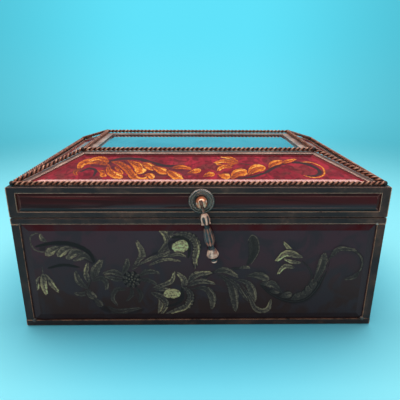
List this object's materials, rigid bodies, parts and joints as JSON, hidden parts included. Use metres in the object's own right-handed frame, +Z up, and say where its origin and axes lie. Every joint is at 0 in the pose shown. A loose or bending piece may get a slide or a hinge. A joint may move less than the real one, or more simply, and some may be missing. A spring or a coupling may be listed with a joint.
{
  "type": "hinged box",
  "caption": "Antique box with a hinged hipped lid: bevelled back-painted glass in a dark metal frame, twisted-wire trim and a drop pull.",
  "frame": {"origin": "middle of the flat foot, on the surface that the box stands on", "axes": "+X to the viewer's right along the longest side, -Y out of the front where the pull is, +Z up"},
  "size_m": [0.32, 0.2464, 0.1571],
  "materials": {
    "frame_metal": "blackened and rubbed, copper showing at the edges",
    "roof_metal": "dull coppery brown patina",
    "hinge_metal": "blackened",
    "wire": "dark in the grooves, rubbed bright on the strands",
    "wall_glass": "polished, painted on the back with scrolling leaves and flowers",
    "band_glass": "polished, painted on the back in plain dark crimson",
    "roof_glass": "polished, painted on the back with scrolling leaves on crimson",
    "top_glass": "polished and silvered, dulled by age",
    "board": "plain stained board",
    "velvet": "short velvet pile on card",
    "felt": "thin felt",
    "copper": "rubbed bright copper",
    "aged_copper": "antiqued copper with green-grey recesses"
  },
  "bodies": {
    "box": {"front_bottom_rail": "frame_metal", "front_top_rail": "frame_metal", "front_corner_post": "frame_metal", "front_glass": "wall_glass", "front_board": "board", "right_bottom_rail": "frame_metal", "right_top_rail": "frame_metal", "right_corner_post": "frame_metal", "right_glass": "wall_glass", "right_board": "board", "back_bottom_rail": "frame_metal", "back_top_rail": "frame_metal", "back_corner_post": "frame_metal", "back_glass": "wall_glass", "back_board": "board", "left_bottom_rail": "frame_metal", "left_top_rail": "frame_metal", "left_corner_post": "frame_metal", "left_glass": "wall_glass", "left_board": "board", "base_board": "board", "base_felt": "felt", "box_lining": "velvet", "hinge_box_leaf": "hinge_metal"},
    "lid": {"lid_front_band": "frame_metal", "lid_front_band_glass": "band_glass", "roof_front_glass": "roof_glass", "top_front_bar": "roof_metal", "lid_right_band": "frame_metal", "lid_right_band_glass": "band_glass", "roof_right_glass": "roof_glass", "top_right_bar": "roof_metal", "lid_back_band": "frame_metal", "lid_back_band_glass": "band_glass", "roof_back_glass": "roof_glass", "top_back_bar": "roof_metal", "lid_left_band": "frame_metal", "lid_left_band_glass": "band_glass", "roof_left_glass": "roof_glass", "top_left_bar": "roof_metal", "hip_front_left_bar": "roof_metal", "hip_front_left_wire": "wire", "hip_front_right_bar": "roof_metal", "hip_front_right_wire": "wire", "hip_back_right_bar": "roof_metal", "hip_back_right_wire": "wire", "hip_back_left_bar": "roof_metal", "hip_back_left_wire": "wire", "lid_lining": "velvet", "hinge_lid_leaf": "hinge_metal", "hinge_rod": "hinge_metal", "eave_wire": "wire", "top_wire": "wire", "top_glass": "top_glass", "pull_plate": "aged_copper", "pull_boss": "copper", "pull_pin": "aged_copper", "pull_nut": "aged_copper"},
    "pull": {"pull_drop": "aged_copper"}
  },
  "joints": [
    {"name": "lid_hinge", "type": "hinge", "parent": "box", "child": "lid", "pos_m": [0, 0.1168, 0.1077], "axis": [-1, 0, 0], "range_deg": [0, 105]},
    {"name": "pull_lift", "type": "hinge", "parent": "lid", "child": "pull", "pos_m": [0.00115, -0.1219, 0.12417], "axis": [-0.9778, 0, -0.2096], "range_deg": [-3.5, 110]}
  ]
}
